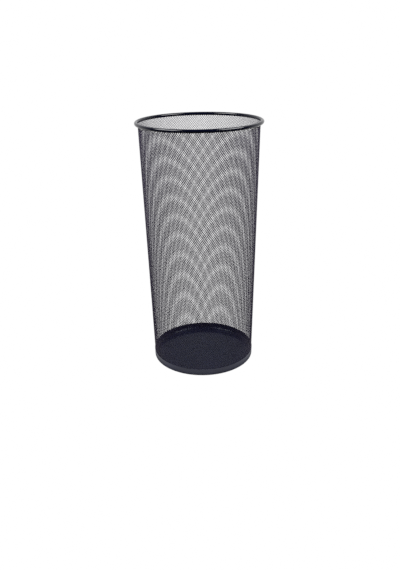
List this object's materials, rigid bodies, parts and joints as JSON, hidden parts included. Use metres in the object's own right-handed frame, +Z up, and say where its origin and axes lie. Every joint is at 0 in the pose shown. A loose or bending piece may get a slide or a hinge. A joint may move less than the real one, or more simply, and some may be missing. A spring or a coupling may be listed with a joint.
{
  "type": "umbrella stand",
  "caption": "Round, slightly tapered umbrella stand with a black expanded-metal wall, a rolled tube rim and a solid pressed base.",
  "frame": {"origin": "centre of the underside, on the surface that the stand rests on", "axes": "+Z up along the axis of the round body, +X through the seam of the rolled wall"},
  "size_m": [0.25, 0.25, 0.5],
  "materials": {
    "mesh_paint": "satin",
    "rim_paint": "gloss",
    "base_paint": "satin"
  },
  "bodies": {
    "root": {"mesh_wall": "mesh_paint", "rim_tube": "rim_paint", "base_pan": "base_paint", "base_band": "base_paint"}
  },
  "joints": []
}
